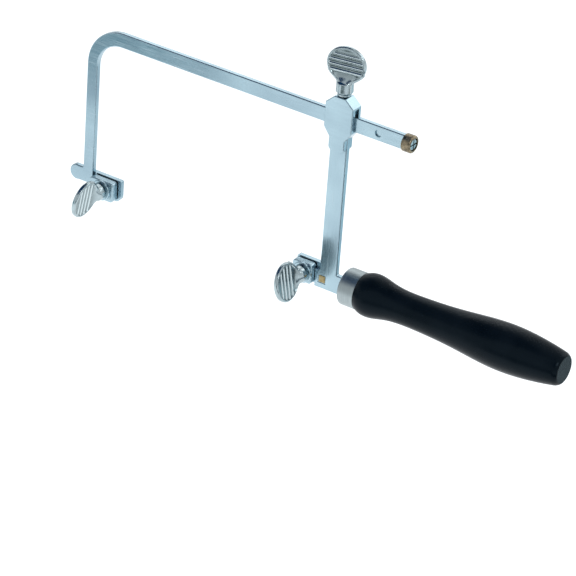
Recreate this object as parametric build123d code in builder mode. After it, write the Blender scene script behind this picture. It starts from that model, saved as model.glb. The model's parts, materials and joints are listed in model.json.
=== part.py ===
"""Jeweler's saw frame with an adjustable rear arm, blade clamps and a turned handle.

The origin is where the front clamp screw's axis crosses the blade plane.  +X runs
along the blade to the handle, +Z up to the spine, and -Y out to the clamp screws.
Every length is in millimetres.
"""

import os

from build123d import *

os.makedirs("parts", exist_ok=True)

# ---- Driving dimensions -------------------------------------------------------
# Flat bar of the spine and the arms
bar_thickness = 3.0
bar_edge_round = 0.6
spine_bottom = 83.1
spine_height = 8.0
spine_end_x = 178.8

# Front arm, bent from the spine
arm_outer_x = -14.6
front_arm_width = 6.5
front_arm_foot = -0.9
bend_outer_radius = 22.5
bend_inner_radius = 15.0

# Round tab that is pushed against the bench
tab_x, tab_z = -18.9, 3.1
tab_radius = 4.3
tab_neck_top = 7.3
tab_heel_round = 0.9

# Detent dimple near the spine's free end
dimple_x = 164.0
dimple_radius = 2.0
dimple_depth = 0.9

# Blade clamps: a fixed jaw behind the blade plane, a moving one in front
front_clamp_x, front_clamp_z = 0.0, 0.0
rear_clamp_x, rear_clamp_z = 128.5, -2.0
front_jaw_right = 7.4
rear_jaw_left = 122.2
jaw_half_height = 5.6
jaw_thickness = 4.0
jaw_gap = 0.6
jaw_side_gap = 0.3
jaw_corner = 1.6
jaw_groove_count = 9
jaw_groove_radius = 0.25
fixed_jaw_thickness = 2.4
fixed_jaw_margin = 0.7
fixed_jaw_overhang = 2.2
fixed_jaw_corner = 3.6

# Washers under the clamp screws
washer_radius = 5.7
washer_thickness = 1.0

# Spade-headed screws
thread_radius = 2.0
thread_clearance = 0.05
shank_chamfer = 0.4
free_hole_clearance = 0.25
collar_radius = 4.5
collar_neck_radius = 3.55
collar_cone = 1.2
collar_edge_round = 0.7
clamp_collar_length = 3.9
lock_collar_length = 6.2
lock_neck_length = 1.1
clamp_neck_length = 0.2
wing_half_width = 10.4
wing_half_height = 9.5
wing_thickness = 2.6
wing_rim = 1.3
wing_dish = 0.45
wing_shoulder = -0.3
wing_edge_round = 0.6
rib_count = 4
rib_first = -3.4
rib_pitch = 2.7
rib_radius = 0.85
rib_sink = 0.3
rib_end_gap = 0.7
neck_end_half_width = 6.6
neck_end_half_thickness = 0.7
front_wing_lean = 10.0
rear_wing_lean = -11.0
lock_wing_turn = 10.0
clamp_shank_length = 9.0

# Sliding head on the spine
head_x = 141.8
head_half_depth = 3.8
head_half_width = 8.2
head_top_half_width = 3.3
head_neck_half_width = 4.7
head_top = 100.0
head_corner_z = 95.7
head_shoulder_z = 82.2
head_neck_z = 77.6
head_bottom = 70.3
eye_clearance = 0.15
eye_top = 94.8

# Pressure shoe between the lock screw and the spine
shoe_length = 12.0
shoe_width = 2.9
shoe_thickness = 1.6
contact_gap = 0.05
lock_screw_stand_off = 0.3

# Rear arm and its foot
rear_arm_width = 10.0
rear_arm_top = 81.6
foot_left = 134.3
foot_right = 151.2
foot_top = 1.1
foot_bottom = -8.9

# Handle, ferrule and tang
handle_z = -2.85
ferrule_start = 152.9
ferrule_length = 9.3
ferrule_radius = 9.86
ferrule_wall = 0.8
handle_end = 280.0
handle_radii = (
    (166.7, 11.3), (178.0, 9.7), (196.0, 8.65), (219.0, 9.9), (244.5, 12.15), (266.0, 10.8),
)
handle_start_radius = 9.75
butt_round = 2.4
butt_shoulder_radius = 8.8
butt_radius = 7.0
bolster_radius = 6.2
spike_radius = 2.4
spike_end = 212.0
tongue_thickness = 1.0
tongue_half_height = 3.4
tongue_start = 136.2
tang_pin_x, tang_pin_z = 138.5, -3.9
tang_pin_side = 3.6
tang_recess_side = 4.8
tang_recess_depth = 0.35

# Stop at the spine's free end: a bronze cup held by a slotted screw
stop_radius = 4.6
stop_length = 5.1
stop_recess_radius = 3.3
stop_recess_depth = 2.2
stop_head_radius = 3.0
stop_head_height = 1.9
stop_shank_radius = 1.1
stop_shank_length = 12.0

# ---- Worked-out places ----------------------------------------------------------
half_bar = bar_thickness / 2
spine_top = spine_bottom + spine_height
spine_middle = spine_bottom + spine_height / 2
arm_inner_x = arm_outer_x + front_arm_width
jaw_front = jaw_gap + jaw_thickness
washer_front = jaw_front + washer_thickness
ferrule_end = ferrule_start + ferrule_length
shoe_bottom = spine_top + contact_gap
shoe_top = shoe_bottom + shoe_thickness
handle_axis = Axis((0, 0, handle_z), (1, 0, 0))


# ---- Shared shapes and steps ------------------------------------------------------
def box_between(x, y, z, mode=Mode.ADD):
    """Box given by its lower and upper limit along each axis."""
    centre = ((x[0] + x[1]) / 2, (y[0] + y[1]) / 2, (z[0] + z[1]) / 2)
    with Locations(centre):
        Box(x[1] - x[0], y[1] - y[0], z[1] - z[0], mode=mode)


def round_flat_outline(radius):
    """Round the outline of a flat part's front and back faces."""
    flats = [faces().sort_by(Axis.Y)[0], faces().sort_by(Axis.Y)[-1]]
    fillet([edge for flat in flats for edge in flat.outer_wire().edges()], radius)


def clamp_seat(x, z, lean):
    """Plane on a clamp's washer, facing the user, with its X upwards and leaning towards +X."""
    upwards = Vector(0, 0, 1).rotate(Axis.Y, lean)
    return Plane((x, -washer_front - contact_gap, z), x_dir=upwards, z_dir=(0, -1, 0))


def fixed_jaw(clamp_x, clamp_z, root_x, free_x):
    """Plate behind the blade plane, from root_x to its rounded free end."""
    high = clamp_z + jaw_half_height + fixed_jaw_margin
    low = clamp_z - jaw_half_height - fixed_jaw_margin
    with BuildSketch(Plane.XZ) as plate:
        with BuildLine():
            Line((root_x, low), (root_x, high))
            FilletPolyline(
                (root_x, high), (free_x, high), (free_x, low), (root_x, low),
                radius=(1.0, fixed_jaw_corner),
            )
        make_face()
    extrude(plate.sketch, amount=-fixed_jaw_thickness)
    with BuildSketch(Plane.XZ) as thread:
        with Locations((clamp_x, clamp_z)):
            Circle(thread_radius + thread_clearance)
    extrude(thread.sketch, amount=-fixed_jaw_thickness, mode=Mode.SUBTRACT)


def moving_jaw(clamp_x, clamp_z, left, right):
    """Clamping plate in front of the blade, grooved along its upper edge."""
    top = clamp_z + jaw_half_height
    with BuildSketch(Plane.XZ.offset(jaw_gap)) as plate:
        with Locations(((left + right) / 2, clamp_z)):
            RectangleRounded(right - left, 2 * jaw_half_height, jaw_corner)
    extrude(plate.sketch, amount=jaw_thickness)
    fillet(faces().sort_by(Axis.Y)[0].edges(), 0.6)
    groove_pitch = (right - left - 2 * jaw_corner) / jaw_groove_count
    first = left + jaw_corner + groove_pitch / 2
    for number in range(jaw_groove_count):
        place = (first + number * groove_pitch, -(jaw_gap + jaw_front) / 2, top)
        with Locations(Plane(place, z_dir=(1, 2, 0))):
            Cylinder(jaw_groove_radius, 2 * jaw_thickness, mode=Mode.SUBTRACT)
    with BuildSketch(Plane.XZ.offset(jaw_gap)) as hole:
        with Locations((clamp_x, clamp_z)):
            Circle(thread_radius + free_hole_clearance)
    extrude(hole.sketch, amount=jaw_thickness, mode=Mode.SUBTRACT)


def clamp_washer(clamp_x, clamp_z):
    """Plain washer on a moving jaw's front face."""
    with BuildSketch(Plane.XZ.offset(jaw_front)) as ring:
        with Locations((clamp_x, clamp_z)):
            Circle(washer_radius)
            Circle(thread_radius + free_hole_clearance, mode=Mode.SUBTRACT)
    extrude(ring.sketch, amount=washer_thickness)
    fillet(faces().sort_by(Axis.Y)[0].outer_wire().edges(), 0.4)


def wing():
    """Oval wing, dished and ribbed on both faces, with its neck towards -Y."""
    dish_width = wing_half_width - wing_rim
    dish_height = wing_half_height - wing_rim
    floor_level = wing_thickness / 2 - wing_dish
    rib_level = floor_level - rib_sink
    with BuildPart() as blade:
        with BuildSketch():
            Ellipse(wing_half_width, wing_half_height)
        extrude(amount=wing_thickness / 2, both=True)
        fillet(edges(), wing_edge_round)
        for side in (-1, 1):
            with BuildSketch(Plane.XY.offset(side * floor_level)):
                Ellipse(dish_width, dish_height)
            extrude(amount=side * wing_dish, mode=Mode.SUBTRACT)
        for number in range(rib_count):
            height = rib_first + number * rib_pitch
            reach = dish_width * (1 - (height / dish_height) ** 2) ** 0.5 - rib_end_gap
            for level in (-rib_level, rib_level):
                with Locations(Plane((0, height, level), z_dir=(1, 0, 0))):
                    Cylinder(rib_radius, 2 * reach)
    return blade.part


def spade_screw(shank_length, neck_length, collar_length):
    """Spade-headed screw along +Z, with its shank below the XY plane."""
    collar_start = neck_length + collar_cone
    collar_end = neck_length + collar_length
    collar_end_radius = collar_radius - collar_edge_round
    shank_end_radius = thread_radius - shank_chamfer
    wing_centre = collar_end + wing_shoulder + wing_half_height
    with BuildPart() as spade:
        with BuildSketch(Plane.XZ):
            with BuildLine():
                Polyline(
                    (0, -shank_length), (shank_end_radius, -shank_length),
                    (thread_radius, shank_chamfer - shank_length), (thread_radius, 0),
                    (collar_neck_radius, 0), (collar_neck_radius, neck_length),
                    (collar_radius, collar_start), (collar_radius, collar_end - collar_edge_round),
                    (collar_end_radius, collar_end), (0, collar_end), close=True,
                )
            make_face()
        revolve(axis=Axis.Z)
        with BuildSketch(Plane.XY.offset(collar_end)):
            Circle(collar_end_radius)
        with BuildSketch(Plane.XY.offset(wing_centre + rib_first - rib_radius)):
            Ellipse(neck_end_half_width, neck_end_half_thickness)
        loft()
        with Locations(Plane((0, 0, wing_centre), x_dir=(1, 0, 0), z_dir=(0, -1, 0))):
            add(wing_blade)
    return spade.part


def finish(builder, name):
    """Label a finished piece and write it."""
    builder.part.label = name
    export_step(builder.part, f"parts/{name}.step")


# ---- Spine bar: spine, bend, front arm, bench tab and fixed jaw in one forging ----
with BuildPart() as spine_bar:
    with BuildSketch(Plane.XZ):
        with BuildLine():
            Line((spine_end_x, spine_bottom), (spine_end_x, spine_top))
            FilletPolyline(
                (spine_end_x, spine_top), (arm_outer_x, spine_top),
                (arm_outer_x, front_arm_foot), radius=bend_outer_radius,
            )
            Line((arm_outer_x, front_arm_foot), (arm_inner_x, front_arm_foot))
            FilletPolyline(
                (arm_inner_x, front_arm_foot), (arm_inner_x, spine_bottom),
                (spine_end_x, spine_bottom), radius=bend_inner_radius,
            )
        make_face()
        with Locations((tab_x, tab_z)):
            Circle(tab_radius)
        with Locations(((tab_x + arm_outer_x) / 2, (front_arm_foot + tab_neck_top) / 2)):
            Rectangle(arm_outer_x - tab_x, tab_neck_top - front_arm_foot)
        tab_heel = vertices().sort_by_distance((arm_outer_x, tab_neck_top))[0]
        fillet(tab_heel, tab_heel_round)
    extrude(amount=half_bar, both=True)
    round_flat_outline(bar_edge_round)
    fixed_jaw(front_clamp_x, front_clamp_z, arm_inner_x - 1.5, front_jaw_right + fixed_jaw_overhang)
    with Locations(Plane((dimple_x, -half_bar, spine_middle), z_dir=(0, -1, 0))):
        Hole(dimple_radius, depth=dimple_depth)
    with Locations(Plane((spine_end_x, 0, spine_middle), z_dir=(1, 0, 0))):
        Hole(stop_shank_radius, depth=stop_shank_length)
finish(spine_bar, "spine_bar")

# ---- Stop at the spine's free end ---------------------------------------------------
with BuildPart() as end_cap:
    stop_seat = Plane((spine_end_x, 0, spine_middle), x_dir=(0, 1, 0), z_dir=(1, 0, 0))
    with BuildSketch(stop_seat):
        Circle(stop_radius)
        Circle(stop_shank_radius + free_hole_clearance, mode=Mode.SUBTRACT)
    extrude(amount=stop_length)
    with BuildSketch(stop_seat.offset(stop_length)):
        Circle(stop_recess_radius)
    extrude(amount=-stop_recess_depth, mode=Mode.SUBTRACT)
    fillet(faces().sort_by(Axis.X)[-1].outer_wire().edges(), 0.9)
    fillet(faces().sort_by(Axis.X)[0].outer_wire().edges(), 0.5)
finish(end_cap, "end_cap")

with BuildPart() as end_cap_screw:
    head_seat = stop_seat.offset(stop_length - stop_recess_depth)
    with BuildSketch(head_seat):
        Circle(stop_head_radius)
    extrude(amount=stop_head_height)
    fillet(faces().sort_by(Axis.X)[-1].edges(), 0.5)
    with BuildSketch(head_seat.offset(stop_head_height)):
        Rectangle(0.8, 2 * stop_head_radius)
        Rectangle(2 * stop_head_radius, 0.8)
    extrude(amount=-0.9, mode=Mode.SUBTRACT)
    with BuildSketch(head_seat):
        Circle(stop_shank_radius)
    extrude(amount=-(stop_length - stop_recess_depth) - stop_shank_length)
finish(end_cap_screw, "end_cap_screw")

# ---- Sliding head: an eye around the spine, and two cheeks that hold the rear arm ---
with BuildPart() as slide_head:
    right_side = [
        (head_top_half_width, head_top), (head_half_width, head_corner_z),
        (head_half_width, head_shoulder_z), (head_neck_half_width, head_neck_z),
        (head_neck_half_width, head_bottom),
    ]
    outline = [(head_x + x, z) for x, z in right_side]
    outline += [(head_x - x, z) for x, z in reversed(right_side)]
    side_radii = [0.4, 0.8, 2.2, 1.6, 2.4]
    with BuildSketch(Plane.XZ):
        with BuildLine():
            FilletPolyline(*outline, radius=side_radii + side_radii[::-1], close=True)
        make_face()
    extrude(amount=head_half_depth, both=True)
    round_flat_outline(0.5)
    eye_half_width = half_bar + eye_clearance
    through_head = (head_x - 20, head_x + 20)
    box_between(
        through_head, (-eye_half_width, eye_half_width),
        (spine_bottom - eye_clearance, eye_top), mode=Mode.SUBTRACT,
    )
    box_between(
        (head_x - rear_arm_width / 2, head_x + rear_arm_width / 2), (-half_bar, half_bar),
        (head_bottom - 5, rear_arm_top), mode=Mode.SUBTRACT,
    )
    with Locations(Plane((head_x, 0, head_top))):
        Hole(thread_radius + thread_clearance, depth=head_top - shoe_bottom)
finish(slide_head, "slide_head")

# ---- Rear arm: flat bar with a foot, the rear fixed jaw and a slit for the tang ------
with BuildPart() as rear_arm:
    arm_left = head_x - rear_arm_width / 2
    arm_right = head_x + rear_arm_width / 2
    with BuildSketch(Plane.XZ):
        with BuildLine():
            Polyline(
                (arm_left, rear_arm_top), (arm_right, rear_arm_top), (arm_right, foot_top),
                (foot_right, foot_top), (foot_right, foot_bottom), (foot_left, foot_bottom),
                (foot_left, foot_top), (arm_left, foot_top), close=True,
            )
        make_face()
    extrude(amount=half_bar, both=True)
    sharp = edges().filter_by(Axis.Y)
    heel = sharp.filter_by_position(Axis.Z, foot_top - 0.1, foot_top + 0.1)
    fillet(heel.sort_by(Axis.X)[1:3], 0.8)
    long_edges = edges().filter_by(Axis.Z).filter_by(lambda e: e.length > 60)
    fillet(long_edges, bar_edge_round)
    rear_jaw_free = rear_jaw_left - 0.2
    fixed_jaw(rear_clamp_x, rear_clamp_z, foot_left + 2.0, rear_jaw_free)
    slit = (-tongue_thickness / 2, tongue_thickness / 2)
    box_between(
        (tongue_start, foot_right), slit,
        (handle_z - tongue_half_height, handle_z + tongue_half_height), mode=Mode.SUBTRACT,
    )
    pin_place = (tang_pin_x, -half_bar, tang_pin_z)
    with BuildSketch(Plane(pin_place, x_dir=(1, 0, 0), z_dir=(0, -1, 0))):
        Rectangle(tang_recess_side, tang_recess_side)
    extrude(amount=-tang_recess_depth, mode=Mode.SUBTRACT)
    with BuildSketch(Plane(pin_place, x_dir=(1, 0, 0), z_dir=(0, -1, 0))):
        Rectangle(tang_pin_side, tang_pin_side)
    extrude(amount=-bar_thickness, mode=Mode.SUBTRACT)
finish(rear_arm, "rear_arm")

# ---- Tang: tongue in the foot's slit, round bolster, and spike in the handle --------
with BuildPart() as tang:
    with BuildSketch(Plane.XZ):
        with BuildLine():
            Polyline(
                (foot_right, handle_z), (foot_right, handle_z + bolster_radius),
                (ferrule_start, handle_z + bolster_radius),
                (ferrule_start, handle_z + spike_radius), (spike_end - 8, handle_z + spike_radius),
                (spike_end, handle_z + 0.6), (spike_end, handle_z), close=True,
            )
        make_face()
    revolve(axis=handle_axis)
    shoulder = edges().filter_by(GeomType.CIRCLE).filter_by(
        lambda e: abs(e.radius - bolster_radius) < 0.01
    )
    fillet(shoulder, 0.7)
    box_between(
        (tongue_start, foot_right + 1), slit,
        (handle_z - tongue_half_height, handle_z + tongue_half_height),
    )
    box_between(
        (tang_pin_x - tang_pin_side / 2, tang_pin_x + tang_pin_side / 2), slit,
        (tang_pin_z - tang_pin_side / 2, tang_pin_z + tang_pin_side / 2), mode=Mode.SUBTRACT,
    )
finish(tang, "tang")

with BuildPart() as tang_pin:
    with BuildSketch(Plane(pin_place, x_dir=(1, 0, 0), z_dir=(0, -1, 0))):
        Rectangle(tang_pin_side, tang_pin_side)
    extrude(amount=-bar_thickness)
finish(tang_pin, "tang_pin")

# ---- Ferrule: a cup with the tang through its floor ---------------------------------
with BuildPart() as ferrule:
    ferrule_front = Plane((ferrule_start, 0, handle_z), z_dir=(1, 0, 0))
    with BuildSketch(ferrule_front):
        Circle(ferrule_radius)
    extrude(amount=ferrule_length)
    with BuildSketch(ferrule_front.offset(ferrule_wall)):
        Circle(ferrule_radius - ferrule_wall)
    extrude(amount=ferrule_length, mode=Mode.SUBTRACT)
    with BuildSketch(ferrule_front):
        Circle(spike_radius)
    extrude(amount=ferrule_wall, mode=Mode.SUBTRACT)
    fillet(faces().sort_by(Axis.X)[0].outer_wire().edges(), 0.7)
finish(ferrule, "ferrule")

# ---- Turned handle --------------------------------------------------------------------
with BuildPart() as handle:
    tenon_start = ferrule_start + ferrule_wall
    tenon_radius = ferrule_radius - ferrule_wall
    butt_start = handle_end - butt_round
    with BuildSketch(Plane.XZ):
        with BuildLine():
            Polyline(
                (ferrule_end, handle_z + handle_start_radius), (ferrule_end, handle_z + tenon_radius),
                (tenon_start, handle_z + tenon_radius), (tenon_start, handle_z),
                (handle_end, handle_z), (handle_end, handle_z + butt_radius),
            )
            swell = [(x, handle_z + radius) for x, radius in handle_radii]
            outside = Spline(
                (ferrule_end, handle_z + handle_start_radius), *swell,
                (butt_start, handle_z + butt_shoulder_radius),
            )
            Spline(
                (butt_start, handle_z + butt_shoulder_radius), (handle_end, handle_z + butt_radius),
                tangents=[outside % 1, (0, -1)], tangent_scalars=[0.6, 0.8],
            )
        make_face()
    revolve(axis=handle_axis)
    with BuildSketch(Plane((tenon_start, 0, handle_z), z_dir=(1, 0, 0))):
        Circle(spike_radius)
    extrude(amount=spike_end - tenon_start, mode=Mode.SUBTRACT)
finish(handle, "handle")

# ---- Screws, washers and moving jaws --------------------------------------------------
wing_blade = wing()
lock_seat_z = head_top + lock_screw_stand_off
lock_shank_length = lock_seat_z - shoe_top - contact_gap
clamp_screw_shape = spade_screw(clamp_shank_length, clamp_neck_length, clamp_collar_length)
lock_screw_shape = spade_screw(lock_shank_length, lock_neck_length, lock_collar_length)

front_jaw_left = arm_inner_x + jaw_side_gap
rear_jaw_right = foot_left - jaw_side_gap
clamps = {
    "front": (front_clamp_x, front_clamp_z, front_jaw_left, front_jaw_right, front_wing_lean),
    "rear": (rear_clamp_x, rear_clamp_z, rear_jaw_left, rear_jaw_right, rear_wing_lean),
}
for side, (x, z, left, right, lean) in clamps.items():
    with BuildPart() as jaw:
        moving_jaw(x, z, left, right)
    finish(jaw, f"{side}_jaw")
    with BuildPart() as washer:
        clamp_washer(x, z)
    finish(washer, f"{side}_washer")
    with BuildPart() as clamp_screw:
        with Locations(clamp_seat(x, z, lean)):
            add(clamp_screw_shape)
    finish(clamp_screw, f"{side}_clamp_screw")

with BuildPart() as lock_screw:
    with Locations(Location((head_x, 0, lock_seat_z), (0, 0, lock_wing_turn))):
        add(lock_screw_shape)
finish(lock_screw, "lock_screw")

# ---- Pressure shoe between the lock screw and the spine -------------------------------
with BuildPart() as pressure_shoe:
    box_between(
        (head_x - shoe_length / 2, head_x + shoe_length / 2),
        (-shoe_width / 2, shoe_width / 2), (shoe_bottom, shoe_top),
    )
    fillet(edges().filter_by(Axis.Y), 0.5)
finish(pressure_shoe, "pressure_shoe")
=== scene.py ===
"""Looks of the jeweler's saw frame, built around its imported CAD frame.

Lengths are in metres, in the frame's own axes: +X along the blade to the handle, +Z up to
the spine, -Y out to the clamp screws.
"""

import json
import math

import bpy
import numpy as np
from mathutils import Matrix, Vector


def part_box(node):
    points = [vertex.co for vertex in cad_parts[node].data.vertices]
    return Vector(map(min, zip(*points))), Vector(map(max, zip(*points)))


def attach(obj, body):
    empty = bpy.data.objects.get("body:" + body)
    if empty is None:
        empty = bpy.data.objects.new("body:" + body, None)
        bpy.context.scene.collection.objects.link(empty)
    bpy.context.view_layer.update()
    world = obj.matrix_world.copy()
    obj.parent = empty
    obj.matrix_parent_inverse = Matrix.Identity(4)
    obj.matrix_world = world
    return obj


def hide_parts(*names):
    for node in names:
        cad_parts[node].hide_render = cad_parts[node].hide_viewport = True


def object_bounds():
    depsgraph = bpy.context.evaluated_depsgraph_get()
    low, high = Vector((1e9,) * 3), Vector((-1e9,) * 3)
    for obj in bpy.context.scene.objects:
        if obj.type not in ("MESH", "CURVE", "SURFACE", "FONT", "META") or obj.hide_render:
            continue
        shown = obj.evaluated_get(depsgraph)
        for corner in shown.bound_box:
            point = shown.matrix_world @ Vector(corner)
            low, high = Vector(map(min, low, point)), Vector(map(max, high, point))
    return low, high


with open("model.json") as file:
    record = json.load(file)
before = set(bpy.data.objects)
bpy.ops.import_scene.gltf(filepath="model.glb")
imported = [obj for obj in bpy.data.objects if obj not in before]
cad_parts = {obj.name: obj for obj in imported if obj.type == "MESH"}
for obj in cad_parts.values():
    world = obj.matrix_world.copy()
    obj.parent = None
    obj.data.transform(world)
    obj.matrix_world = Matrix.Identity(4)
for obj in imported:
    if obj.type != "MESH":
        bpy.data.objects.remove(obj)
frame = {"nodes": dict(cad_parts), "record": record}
cad_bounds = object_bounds()
MM = 0.001


# ---- Node helpers ---------------------------------------------------------------------
class Nodes:
    """Short way to add and join the nodes of one material."""

    def __init__(self, name):
        self.material = bpy.data.materials.new(name)
        self.material.use_nodes = True
        self.tree = self.material.node_tree
        self.shader = self.tree.nodes["Principled BSDF"]
        self.place = self.add("ShaderNodeTexCoord").outputs["Object"]

    def add(self, kind, **values):
        """Add a node, and set its properties or its inputs by name."""
        node = self.tree.nodes.new(kind)
        for key, value in values.items():
            if hasattr(node, key):
                setattr(node, key, value)
            else:
                node.inputs[key.replace("_", " ")].default_value = value
        return node

    def link(self, source, target):
        self.tree.links.new(source, target)

    def stretched(self, scale):
        """Object position, scaled by a different factor along each axis."""
        mapping = self.add("ShaderNodeMapping")
        mapping.inputs["Scale"].default_value = scale
        self.link(self.place, mapping.inputs["Vector"])
        return mapping.outputs["Vector"]

    def noise(self, vector, scale, detail=3.0, roughness=0.5):
        """Noise between 0 and 1 at a position."""
        node = self.add("ShaderNodeTexNoise", Scale=scale, Detail=detail, Roughness=roughness)
        self.link(vector, node.inputs["Vector"])
        return node.outputs["Fac"]

    def attribute(self, name):
        """Number stored at each vertex under a name."""
        node = self.add("ShaderNodeAttribute", attribute_name=name)
        return node.outputs["Fac"]

    def spread(self, value, low, high, new_low=0.0, new_high=1.0):
        """Map a value from one range to another, and clamp it."""
        node = self.add("ShaderNodeMapRange")
        self.link(value, node.inputs["Value"])
        limits = {"From Min": low, "From Max": high, "To Min": new_low, "To Max": new_high}
        for socket, number in limits.items():
            node.inputs[socket].default_value = number
        return node.outputs["Result"]

    def ramp(self, value, stops):
        """Colour ramp from (place, colour) stops."""
        node = self.add("ShaderNodeValToRGB")
        elements = node.color_ramp.elements
        while len(elements) < len(stops):
            elements.new(0.5)
        for element, (place, colour) in zip(elements, stops):
            element.position = place
            element.color = (*colour, 1.0)
        self.link(value, node.inputs["Fac"])
        return node.outputs["Color"]

    def mix(self, factor, first, second, blend="MIX"):
        """Mix of two colours; factor, first and second are sockets or values."""
        node = self.add("ShaderNodeMix", data_type="RGBA", blend_type=blend)
        values = {0: factor, 6: first, 7: second}
        for index, value in values.items():
            socket = node.inputs[index]
            if isinstance(value, bpy.types.NodeSocket):
                self.link(value, socket)
            elif isinstance(value, tuple):
                socket.default_value = (*value, 1.0)
            else:
                socket.default_value = value
        return node.outputs[2]

    def bump(self, height, strength, distance, normal=None):
        """Bump from a height; distance is the height's real depth."""
        node = self.add("ShaderNodeBump", Strength=strength, Distance=distance)
        self.link(height, node.inputs["Height"])
        if normal is not None:
            self.link(normal, node.inputs["Normal"])
        return node.outputs["Normal"]

    def finish(self, colour, roughness, normal, **values):
        """Join colour, roughness and normal to the shader and set its plain values."""
        self.link(colour, self.shader.inputs["Base Color"])
        self.link(roughness, self.shader.inputs["Roughness"])
        self.link(normal, self.shader.inputs["Normal"])
        for name, value in values.items():
            self.shader.inputs[name.replace("_", " ")].default_value = value
        return self.material


# ---- Materials ------------------------------------------------------------------------
# Tones are linear colours. Grains are noise scales along the frame's axes: a low scale
# draws the noise out into lines along its axis.
PLATE_TONES = ((0.385, 0.515, 0.575), (0.33, 0.445, 0.505), (0.27, 0.37, 0.43))
STEEL_TONES = ((0.50, 0.55, 0.58), (0.42, 0.47, 0.50), (0.35, 0.40, 0.43))
SCRATCH_TONE = (0.85, 0.9, 0.93)
NICKEL_DARK = (0.30, 0.365, 0.385)
NICKEL_LIGHT = (0.41, 0.49, 0.515)
RECESS_SHADE_DARK = (0.13, 0.17, 0.18)
# Painted shade for the recesses of the wing screws, then the painted highlight for their rib
# crests.
RECESS_SHADE_LIGHT = (0.31, 0.37, 0.385)
CREST_HIGHLIGHT_TONE = (0.62, 0.71, 0.73)
FERRULE_DARK = (0.27, 0.315, 0.325)
FERRULE_LIGHT = (0.40, 0.45, 0.46)
BRONZE_DARK = (0.125, 0.105, 0.072)
BRONZE_LIGHT = (0.37, 0.305, 0.205)
BRASS_DARK = (0.28, 0.21, 0.10)
BRASS_LIGHT = (0.50, 0.41, 0.22)
LACQUER_DARK = (0.0008, 0.0022, 0.0042)
LACQUER_LIGHT = (0.0022, 0.0042, 0.0070)
LACQUER_SHEEN = (0.6, 0.85, 1.0, 1.0)
GROUND_ALONG_X = (60.0, 60.0, 1800.0)
GROUND_ALONG_Z = (1800.0, 60.0, 60.0)
BRUSHED_ROUND_X = (9000.0, 40.0, 40.0)
TURNED_ROUND_X = (900.0, 40.0, 40.0)


def plated_steel(name, tones, grain):
    """Nickel plate over ground steel; tones are light, middle and dark.

    grain is the noise scale that gives the direction of the grinding lines.
    """
    nodes = Nodes(name)
    cloud = nodes.noise(nodes.place, 26.0, 2.0)
    scratches = nodes.noise(nodes.stretched(grain), 1.0, 4.0, 0.6)
    fine = nodes.noise(nodes.place, 2600.0, 2.0)
    colour = nodes.ramp(cloud, [(0.32, tones[2]), (0.5, tones[1]), (0.68, tones[0])])
    worn = nodes.spread(scratches, 0.62, 0.8, 0.0, 0.25)
    colour = nodes.mix(worn, colour, SCRATCH_TONE)
    roughness = nodes.spread(scratches, 0.3, 0.75, 0.16, 0.30)
    normal = nodes.bump(scratches, 0.20, 0.00001)
    normal = nodes.bump(fine, 0.08, 0.000006, normal)
    return nodes.finish(colour, roughness, normal, Metallic=1.0)


def polished_nickel(name, sculpted=False):
    """Polished nickel plate with fine cloudy wear, for screws and washers.

    A sculpted piece stores two shares at each vertex: one is 0 in a recess, where shade is
    painted dark, and the other is 1 on the crest of a rib, where a highlight is painted bright.
    """
    nodes = Nodes(name)
    cloud = nodes.noise(nodes.place, 240.0, 3.0)
    fine = nodes.noise(nodes.place, 3200.0, 2.0)
    colour = nodes.ramp(cloud, [(0.3, NICKEL_DARK), (0.7, NICKEL_LIGHT)])
    roughness = nodes.spread(cloud, 0.3, 0.7, 0.15, 0.26)
    if sculpted:
        # Painted shade darkens the recesses of the wing, and a painted highlight brightens its
        # rib crests.
        recess_shade = nodes.mix(cloud, RECESS_SHADE_DARK, RECESS_SHADE_LIGHT)
        colour = nodes.mix(nodes.spread(nodes.attribute("unshaded"), 0.0, 0.7), recess_shade, colour)
        crest_highlight = nodes.spread(nodes.attribute("crest_highlight"), 0.35, 0.95)
        colour = nodes.mix(crest_highlight, colour, CREST_HIGHLIGHT_TONE)
    normal = nodes.bump(fine, 0.12, 0.00001)
    return nodes.finish(colour, roughness, normal, Metallic=1.0)


def brushed_ferrule(name):
    """Nickel tube brushed round its axis."""
    nodes = Nodes(name)
    rings = nodes.noise(nodes.stretched(BRUSHED_ROUND_X), 1.0, 3.0, 0.6)
    colour = nodes.ramp(rings, [(0.35, FERRULE_DARK), (0.65, FERRULE_LIGHT)])
    roughness = nodes.spread(rings, 0.3, 0.7, 0.30, 0.42)
    normal = nodes.bump(rings, 0.10, 0.000005)
    return nodes.finish(colour, roughness, normal, Metallic=1.0)


def toned_metal(name, dark, light):
    """Brass or bronze with a cloudy tone."""
    nodes = Nodes(name)
    cloud = nodes.noise(nodes.place, 420.0, 4.0)
    colour = nodes.ramp(cloud, [(0.35, dark), (0.65, light)])
    roughness = nodes.spread(cloud, 0.3, 0.7, 0.30, 0.48)
    normal = nodes.bump(cloud, 0.25, 0.00003)
    return nodes.finish(colour, roughness, normal, Metallic=1.0)


def black_lacquer(name):
    """Black lacquer over turned wood: faint turning rings, orange peel and handling haze."""
    nodes = Nodes(name)
    rings = nodes.noise(nodes.stretched(TURNED_ROUND_X), 1.0, 2.0)
    peel = nodes.noise(nodes.place, 700.0, 2.0)
    haze = nodes.noise(nodes.place, 60.0, 4.0)
    colour = nodes.ramp(haze, [(0.35, LACQUER_DARK), (0.7, LACQUER_LIGHT)])
    roughness = nodes.spread(haze, 0.3, 0.7, 0.24, 0.34)
    normal = nodes.bump(rings, 0.20, 0.00004)
    normal = nodes.bump(peel, 0.12, 0.00003, normal)
    return nodes.finish(
        colour, roughness, normal, Specular_IOR_Level=0.09, Specular_Tint=LACQUER_SHEEN
    )


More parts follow.
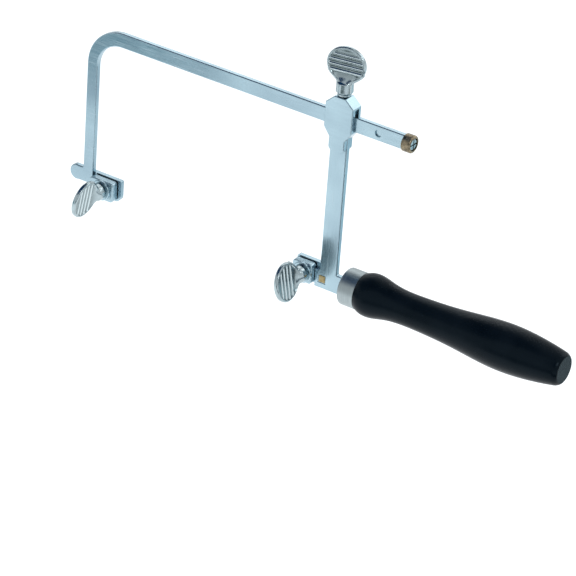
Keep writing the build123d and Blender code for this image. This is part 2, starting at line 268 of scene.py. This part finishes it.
finishes = {
    "nickel_plated_steel": plated_steel("nickel_plate", PLATE_TONES, GROUND_ALONG_X),
    "nickel_screw": polished_nickel("polished_nickel"),
    "bronze": toned_metal("toned_bronze", BRONZE_DARK, BRONZE_LIGHT),
    "brass": toned_metal("brushed_brass", BRASS_DARK, BRASS_LIGHT),
    "bare_steel": plated_steel("bare_steel", STEEL_TONES, GROUND_ALONG_X),
    "ferrule_nickel": brushed_ferrule("brushed_ferrule"),
    "black_lacquer": black_lacquer("black_lacquer"),
}
sculpted_nickel = polished_nickel("sculpted_nickel", sculpted=True)
upright_plate = plated_steel("nickel_plate_upright", PLATE_TONES, GROUND_ALONG_Z)
for subpart in frame["record"]["subparts"]:
    piece = frame["nodes"][subpart["node"]]
    for material_slot in piece.material_slots:
        material_slot.material = finishes[subpart["material_slot"]]
for material_slot in frame["nodes"]["rear_arm"].material_slots:
    material_slot.material = upright_plate


# ---- Wing screws, sculpted from a distance field ---------------------------------------
# Lengths in this section are in millimetres, in the screw's own axes: u across the wing,
# v through its thickness, and w along the screw, from its seat towards the wing.
THREAD_RADIUS = 2.0
THREAD_DEPTH = 0.32
THREAD_PITCH = 0.7
SHANK_ROUND = 0.3
COLLAR_RADIUS = 4.5
COLLAR_NECK_RADIUS = 3.55
COLLAR_CONE = 1.2
COLLAR_ROUND = 0.5
WING_HALF_WIDTH = 10.4
WING_HALF_HEIGHT = 9.5
WING_HALF_THICKNESS = 1.3
WING_SHOULDER = -0.3
WING_EDGE_ROUND = 0.9
WING_RIM = 1.0
RIM_SLOPE = 0.6
DISH_DEPTH = 0.7
CROWN_RISE = 0.35
CROWN_START = 4.0
CROWN_END = 8.0
WEB_HEIGHT = 5.2
WEB_HALF_WIDTH = 7.4
WEB_SIDE_INSET = 0.3
WEB_FACE_INSET = 0.5
WEB_THINNING = COLLAR_RADIUS - 1.3
WEB_THINNING_START = -0.2
WEB_ROUND = 0.4
WEB_FILLET = 0.8
WING_FILLET = 1.6
RIB_FIRST = -3.5
RIB_PITCH = 2.78
RIB_COUNT = 4
RIB_HEIGHT = 0.62
RIB_WIDTH = 0.52
# How far the painted shade of the dish reaches past the start of its slope.
SHADE_MARGIN = 0.1
FIELD_MARGIN = 0.9
FIELD_STEP = 0.2
LEAST_SLOPE_SQUARED = 0.25
LONGEST_MOVE = 0.1


def smooth_step(value, low, high):
    """0 below low, 1 above high, and a smooth rise between them."""
    share = np.clip((value - low) / (high - low), 0.0, 1.0)
    return share * share * (3 - 2 * share)


def smooth_union(first, second, blend):
    """Union of two distance fields with a fillet about as large as blend."""
    near = np.maximum(blend - np.abs(first - second), 0.0) / blend
    return np.minimum(first, second) - near * near * blend / 4


def round_limits(first, second, radius):
    """Intersection of two distance fields with a rounded edge."""
    over_first = np.maximum(first + radius, 0.0)
    over_second = np.maximum(second + radius, 0.0)
    inside = np.minimum(np.maximum(first, second) + radius, 0.0)
    return inside + np.hypot(over_first, over_second) - radius


def wing_outline(u, w, collar_end):
    """Distance to the wing's oval outline, and the height above the oval's centre."""
    along = w - (collar_end + WING_SHOULDER + WING_HALF_HEIGHT)
    k0 = np.hypot(u / WING_HALF_WIDTH, along / WING_HALF_HEIGHT) + 1e-9
    k1 = np.hypot(u / WING_HALF_WIDTH**2, along / WING_HALF_HEIGHT**2) + 1e-9
    return k0 * (k0 - 1) / k1, along


def rib_height(along):
    """Height of the ribs as a share, 1 on a crest and 0 between the ribs."""
    crests = (RIB_FIRST + number * RIB_PITCH for number in range(RIB_COUNT))
    return sum(np.exp(-(((along - crest) / RIB_WIDTH) ** 2)) for crest in crests)


def wing_painted_light(u, w, collar_end):
    """Two shares of a surface point: painted shade, dark in the dish, and a painted highlight,
    bright on the rib crests; the rest is plain.
    """
    outline, along = wing_outline(u, w, collar_end)
    dish = smooth_step(-outline, WING_RIM - SHADE_MARGIN, WING_RIM + RIM_SLOPE)
    dish *= smooth_step(along, -WING_HALF_HEIGHT, RIB_FIRST)
    crest = np.clip(rib_height(along), 0.0, 1.0)
    return 1 - dish * (1 - crest), dish * crest


def screw_field(u, v, w, shank_length, neck_length, collar_length):
    """Signed distance to a spade-headed screw, negative inside it."""
    radial = np.hypot(u, v)
    turns = w / THREAD_PITCH - np.arctan2(v, u) / (2 * math.pi)
    groove = np.abs((turns % 1.0) * 2 - 1)
    shank = radial - (THREAD_RADIUS - THREAD_DEPTH * groove)
    shank = round_limits(shank, np.abs(w + shank_length / 2) - shank_length / 2, SHANK_ROUND)

    collar_end = neck_length + collar_length
    cone = np.clip((w - neck_length) / COLLAR_CONE, 0.0, 1.0)
    collar = radial - COLLAR_NECK_RADIUS - cone * (COLLAR_RADIUS - COLLAR_NECK_RADIUS)
    collar = round_limits(collar, np.maximum(w - collar_end, -w), COLLAR_ROUND)

    outline, along = wing_outline(u, w, collar_end)
    dish = smooth_step(-outline, WING_RIM, WING_RIM + RIM_SLOPE)
    crown = CROWN_RISE * smooth_step(along, CROWN_START, CROWN_END)
    recess = DISH_DEPTH - crown - RIB_HEIGHT * rib_height(along)
    face = np.abs(v) - WING_HALF_THICKNESS + dish * recess
    wing = round_limits(outline, face, WING_EDGE_ROUND)

    rise = (w - collar_end) / WEB_HEIGHT
    share = np.clip(rise, 0.0, 1.0)
    foot_half_width = COLLAR_RADIUS - WEB_SIDE_INSET
    half_width = foot_half_width + share * (WEB_HALF_WIDTH - foot_half_width)
    thinned = WEB_THINNING * smooth_step(share, WEB_THINNING_START, 1.0)
    half_depth = COLLAR_RADIUS - WEB_FACE_INSET - thinned
    web = (np.hypot(u / half_width, v / half_depth) - 1) * half_depth
    web = round_limits(web, (np.abs(rise - 0.5) - 0.5) * WEB_HEIGHT, WEB_ROUND)
    body = smooth_union(collar, web, WEB_FILLET)
    return np.minimum(smooth_union(body, wing, WING_FILLET), shank)


def surface_nets(field, low, high, step):
    """Vertices and quads of a field's zero surface, from one vertex per crossed cell."""
    counts = [int(math.ceil((b - a) / step)) + 1 for a, b in zip(low, high)]
    axes = [a + step * np.arange(n) for a, n in zip(low, counts)]
    grid = np.meshgrid(*axes, indexing="ij")
    values = field(*grid)
    cells = [n - 1 for n in counts]
    total = np.zeros((*cells, 3))
    hits = np.zeros(cells)
    crossings = []
    for axis in range(3):
        lower = [slice(None)] * 3
        upper = [slice(None)] * 3
        lower[axis] = slice(0, -1)
        upper[axis] = slice(1, None)
        start, end = values[tuple(lower)], values[tuple(upper)]
        crossed = (start < 0) != (end < 0)
        share = np.where(crossed, start / np.where(crossed, start - end, 1.0), 0.0)
        place = np.stack([g[tuple(lower)] for g in grid], axis=-1)
        place[..., axis] += share * step
        crossings.append((crossed, start < 0))
        others = [k for k in range(3) if k != axis]
        for first in (slice(0, -1), slice(1, None)):
            for second in (slice(0, -1), slice(1, None)):
                part = [slice(None)] * 3
                part[others[0]], part[others[1]] = first, second
                part = tuple(part)
                total += place[part] * crossed[part][..., None]
                hits += crossed[part]
    used = hits > 0
    number = np.full(cells, -1)
    number[used] = np.arange(used.sum())
    vertices = total[used] / hits[used][:, None]
    quads = []
    for axis, (crossed, inside_first) in enumerate(crossings):
        index = np.argwhere(crossed)
        ring = []
        others = [(axis + 1) % 3, (axis + 2) % 3]
        for back in ((1, 1), (0, 1), (0, 0), (1, 0)):
            cell = index.copy()
            cell[:, others[0]] -= back[0]
            cell[:, others[1]] -= back[1]
            ring.append(number[tuple(cell.T)])
        ring = np.stack(ring, axis=1)
        flipped = ~inside_first[tuple(index.T)]
        ring[flipped] = ring[flipped][:, ::-1]
        quads.append(ring)
    return vertices, np.concatenate(quads)


def settle(field, vertices, rounds=3, reach=0.02):
    """Move vertices onto the field's zero surface along its gradient."""
    for _ in range(rounds):
        value = field(*vertices.T)
        slope = np.stack(
            [(field(*(vertices + reach * step).T) - value) / reach for step in np.eye(3)], axis=1
        )
        size = np.maximum((slope * slope).sum(axis=1), LEAST_SLOPE_SQUARED)
        move = np.clip(value / size, -LONGEST_MOVE, LONGEST_MOVE)
        vertices = vertices - move[:, None] * slope
    return vertices


def wing_screw(node, body, seat, u_axis, w_axis, shank_length, neck_length, collar_length):
    """Sculpted screw that stands for a CAD screw, with its seat at a point of the frame."""

    def field(u, v, w):
        return screw_field(u, v, w, shank_length, neck_length, collar_length)

    step = FIELD_STEP
    top = neck_length + collar_length + WING_SHOULDER + 2 * WING_HALF_HEIGHT
    high_corner = np.array([WING_HALF_WIDTH, COLLAR_RADIUS, top]) + FIELD_MARGIN
    low_corner = (-high_corner[0], -high_corner[1], -shank_length - FIELD_MARGIN)
    vertices, quads = surface_nets(field, low_corner, high_corner, step)
    vertices = settle(field, vertices)
    w_axis = Vector(w_axis).normalized()
    u_axis = Vector(u_axis).normalized()
    v_axis = w_axis.cross(u_axis)
    axes = np.array([u_axis, v_axis, w_axis])
    mesh = bpy.data.meshes.new(node + "_sculpted")
    mesh.from_pydata((vertices @ axes * MM + np.array(seat)).tolist(), [], quads.tolist())
    mesh.polygons.foreach_set("use_smooth", [True] * len(mesh.polygons))
    mesh.update()
    # Painted shade in the dish and a painted highlight on the rib crests, stored at each vertex
    # for the wing material.
    painted_light = wing_painted_light(vertices[:, 0], vertices[:, 2], neck_length + collar_length)
    for name, shares in zip(("unshaded", "crest_highlight"), painted_light):
        mesh.attributes.new(name, "FLOAT", "POINT").data.foreach_set("value", shares)
    piece = bpy.data.objects.new(node + "_sculpted", mesh)
    bpy.context.scene.collection.objects.link(piece)
    mesh.materials.append(sculpted_nickel)
    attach(piece, body)
    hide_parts(node)
    return piece


CLAMP_SHANK_LENGTH = 9.0
LOCK_SHANK_LENGTH = 7.5
CLAMP_HEAD = (0.2, 3.9)  # lengths of neck and collar
LOCK_HEAD = (1.1, 6.2)
WING_LEANS = {"front": math.radians(10), "rear": math.radians(-11)}
LOCK_TURN = math.radians(10)

for side, lean in WING_LEANS.items():
    washer_low, washer_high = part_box(side + "_washer")
    screw_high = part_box(side + "_clamp_screw")[1]
    seat = (washer_low + washer_high) / 2
    seat.y = screw_high.y - CLAMP_SHANK_LENGTH * MM
    wing_screw(
        side + "_clamp_screw", side + "_clamp_wing", seat,
        (math.sin(lean), 0, math.cos(lean)), (0, -1, 0), CLAMP_SHANK_LENGTH, *CLAMP_HEAD,
    )
lock_low, lock_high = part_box("lock_screw")
lock_seat = (lock_low + lock_high) / 2
lock_seat.z = lock_low.z + LOCK_SHANK_LENGTH * MM
wing_screw(
    "lock_screw", "lock_wing", lock_seat,
    (math.cos(LOCK_TURN), math.sin(LOCK_TURN), 0), (0, 0, 1), LOCK_SHANK_LENGTH, *LOCK_HEAD,
)


# ---- Floor, light and camera ------------------------------------------------------------
low, high = (Vector(corner) for corner in cad_bounds)
centre = (low + high) / 2


def card(name, width, height, place, towards, colour, glow):
    """Flat card at a place, facing a point, matt and glowing with its own colour."""
    mesh = bpy.data.meshes.new(name)
    x, y = width / 2, height / 2
    mesh.from_pydata([(-x, -y, 0), (x, -y, 0), (x, y, 0), (-x, y, 0)], [], [(0, 1, 2, 3)])
    material = bpy.data.materials.new(name + "_face")
    material.use_nodes = True
    shader = material.node_tree.nodes["Principled BSDF"]
    shader.inputs["Base Color"].default_value = (*colour, 1.0)
    shader.inputs["Roughness"].default_value = 1.0
    shader.inputs["Specular IOR Level"].default_value = 0.0
    shader.inputs["Emission Color"].default_value = (*colour, 1.0)
    shader.inputs["Emission Strength"].default_value = glow
    mesh.materials.append(material)
    piece = bpy.data.objects.new(name, mesh)
    bpy.context.scene.collection.objects.link(piece)
    piece.location = place
    facing = Vector(towards) - Vector(place)
    piece.rotation_euler = facing.to_track_quat("Z", "Y").to_euler()
    return piece


def reflection_card(name, width, height, place, towards, colour, glow):
    """Card seen only in reflections, as the dark and bright cards of a product studio."""
    piece = card(name, width, height, place, towards, colour, glow)
    piece.visible_camera = False
    piece.visible_diffuse = False
    piece.visible_shadow = False
    piece.visible_transmission = False


def soft_light(name, size, power, place):
    """Soft square light aimed at the frame, left out of reflections."""
    light = bpy.data.lights.new(name, "AREA")
    light.size = size
    light.energy = power
    lamp = bpy.data.objects.new(name, light)
    bpy.context.scene.collection.objects.link(lamp)
    lamp.location = place
    lamp.rotation_euler = (centre - place).to_track_quat("-Z", "Y").to_euler()
    lamp.visible_glossy = False


FLOOR_SIZE = 30.0
FLOOR_DROP = 0.25
FLOOR_TONE = (0.93, 0.94, 0.95)
FLOOR_GLOW = 0.22
STRAIGHT_ABOVE = (0, 0, 10)
floor_place = (0, 0, low.z - FLOOR_DROP)
card("floor", FLOOR_SIZE, FLOOR_SIZE, floor_place, STRAIGHT_ABOVE, FLOOR_TONE, FLOOR_GLOW)
KEY_OFFSET = Vector((-0.7, -0.9, 1.3))
KEY_SIZE, KEY_POWER = 0.8, 14.0
FILL_OFFSET = Vector((1.3, -0.8, 0.7))
FILL_SIZE, FILL_POWER = 1.2, 8.0
soft_light("key_light", KEY_SIZE, KEY_POWER, centre + KEY_OFFSET)
soft_light("fill_light", FILL_SIZE, FILL_POWER, centre + FILL_OFFSET)

SKY_TONE = (0.95, 0.98, 1.0, 1.0)
SKY_STRENGTH = 0.85
world = bpy.data.worlds.new("studio")
bpy.context.scene.world = world
world.use_nodes = True
background = world.node_tree.nodes["Background"]
background.inputs["Color"].default_value = SKY_TONE
background.inputs["Strength"].default_value = SKY_STRENGTH

# Dark cards that draw the lines along rounded edges, toned ones for the wide faces, and
# bright ones for the glints. Six are placed by a direction and a distance from the
# frame's centre, and three by a point in the frame's own axes.
NAVY = (0.010, 0.045, 0.110)
SLATE = (0.06, 0.11, 0.15)
BEND_BLUE = (0.25, 0.39, 0.44)
BLUE_GREY = (0.42, 0.56, 0.61)
DARK_GREY = (0.12, 0.16, 0.165)
WHITE = (1.0, 1.0, 1.0)
BEND_BELOW_TOP = 0.04
bend = Vector((low.x, 0.0, high.z - BEND_BELOW_TOP))
lock_wing = Vector(lock_high + lock_low) / 2


def seen_from(direction, distance):
    """Place at a distance from the frame's centre, in a direction."""
    return centre + distance * Vector(direction).normalized()


# Each row: name, width, height, place, the point it faces, colour, glow.
STUDIO_CARDS = (
    ("card_above", 0.72, 0.72, seen_from((-0.47, -0.20, 0.86), 0.55), centre, NAVY, 0.0),
    ("card_right", 0.62, 0.11, seen_from((0.74, -0.47, -0.50), 0.50), centre, SLATE, 0.0),
    ("card_front", 0.30, 0.30, seen_from((0.47, -0.70, 0.54), 0.60), centre, NAVY, 0.0),
    ("card_bend", 0.21, 0.16, (-0.286, -0.359, -0.073), bend, BEND_BLUE, 0.0),
    ("card_wing", 0.36, 0.16, (0.15, -0.445, -0.085), lock_wing, DARK_GREY, 0.2),
    ("card_back", 0.22, 0.22, (0.41, 0.365, -0.165), centre, BLUE_GREY, 0.4),
    ("glow_top", 0.50, 0.30, seen_from((-0.47, 0.74, 0.485), 0.75), centre, WHITE, 0.3),
    ("glow_back", 0.40, 0.40, seen_from((0.42, 0.74, 0.53), 0.70), centre, WHITE, 0.8),
    ("glow_butt", 0.14, 0.14, seen_from((0.78, -0.36, 0.50), 0.70), centre, WHITE, 7.0),
)
for row in STUDIO_CARDS:
    reflection_card(*row)

CAMERA_PLACE = (0.8855, -1.2098, 0.7773)
CAMERA_RIGHT = Vector((0.8218, 0.5657, 0.0673))
CAMERA_UP = Vector((-0.3240, 0.3670, 0.8719))
CAMERA_BACK = Vector((0.4686, -0.7384, 0.4850))
camera_data = bpy.data.cameras.new("camera")
camera_data.lens = 200.0
camera_data.sensor_width = 36.0
camera_data.clip_start = 0.05
camera = bpy.data.objects.new("camera", camera_data)
bpy.context.scene.collection.objects.link(camera)
turn = Matrix((CAMERA_RIGHT, CAMERA_UP, CAMERA_BACK)).transposed().to_4x4()
camera.matrix_world = Matrix.Translation(CAMERA_PLACE) @ turn
bpy.context.scene.camera = camera
bpy.context.scene.view_settings.view_transform = "Standard"
